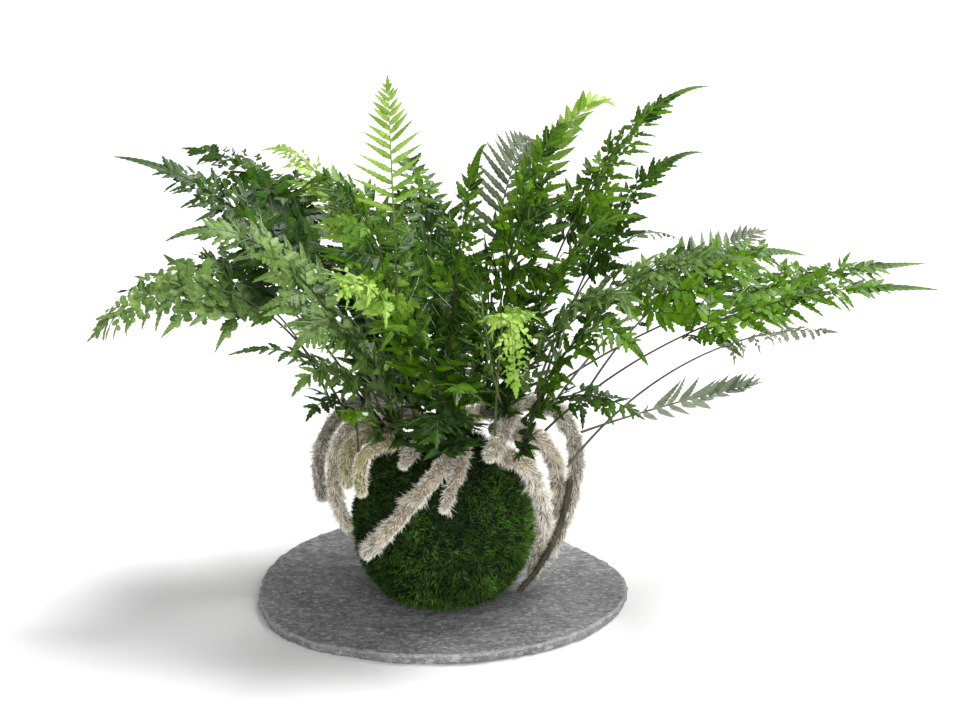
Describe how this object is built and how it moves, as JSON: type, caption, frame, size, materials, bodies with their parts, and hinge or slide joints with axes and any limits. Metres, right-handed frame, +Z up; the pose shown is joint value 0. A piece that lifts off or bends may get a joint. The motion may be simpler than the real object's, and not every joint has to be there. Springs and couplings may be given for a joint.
{
  "type": "kokedama moss ball plant",
  "caption": "Rabbit's-foot fern growing from a moss-wrapped ball of soil on a thin slate plate, with furry rhizomes draped over the moss.",
  "frame": {"origin": "middle of the slate plate's flat underside", "axes": "+Z up; +X to the viewer's right along the fern's widest spread; -Y towards the viewer"},
  "size_m": [0.5052, 0.2815, 0.3171],
  "materials": {
    "slate": "matte",
    "moss": "matte",
    "soil": "matte",
    "rhizome_fur": "matte",
    "rhizome_bark": "satin",
    "frond_dark": "satin",
    "frond_green": "satin",
    "frond_silver": "satin",
    "frond_young": "satin",
    "frond_pale": "satin",
    "frond_grey": "satin"
  },
  "bodies": {
    "root": {"slate_plate": "slate", "moss_cover": "moss", "soil_core": "soil", "rhizome_front_long": "rhizome_fur", "rhizome_front_short": "rhizome_fur", "rhizome_front_stub": "rhizome_fur", "rhizome_right_stub": "rhizome_fur", "rhizome_right_front": "rhizome_fur", "rhizome_right_inner": "rhizome_fur", "rhizome_right_outer": "rhizome_fur", "rhizome_right_bare": "rhizome_bark", "rhizome_left_outer": "rhizome_fur", "rhizome_left_inner": "rhizome_fur", "rhizome_left_front": "rhizome_fur", "rhizome_left_near": "rhizome_fur", "rhizome_back_left": "rhizome_fur", "rhizome_back_middle": "rhizome_fur", "rhizome_back_right": "rhizome_fur", "frond_01": "frond_dark", "frond_02": "frond_dark", "frond_03": "frond_silver", "frond_04": "frond_dark", "frond_05": "frond_silver", "frond_06": "frond_dark", "frond_07": "frond_dark", "frond_08": "frond_green", "frond_09": "frond_silver", "frond_10": "frond_silver", "frond_11": "frond_young", "frond_12": "frond_green", "frond_13": "frond_green", "frond_14": "frond_pale", "frond_15": "frond_young", "frond_16": "frond_green", "frond_17": "frond_young", "frond_18": "frond_young", "frond_19": "frond_green", "frond_20": "frond_grey", "frond_21": "frond_green", "frond_22": "frond_young", "frond_23": "frond_green", "frond_24": "frond_dark", "frond_25": "frond_green", "frond_26": "frond_grey", "frond_27": "frond_grey", "frond_28": "frond_green", "frond_29": "frond_green", "frond_30": "frond_silver", "frond_31": "frond_grey", "frond_32": "frond_grey", "frond_33": "frond_silver", "frond_34": "frond_green", "frond_35": "frond_green", "frond_36": "frond_dark", "frond_37": "frond_dark", "frond_38": "frond_dark", "frond_39": "frond_green", "frond_40": "frond_green", "frond_41": "frond_green", "frond_42": "frond_dark"}
  },
  "joints": []
}
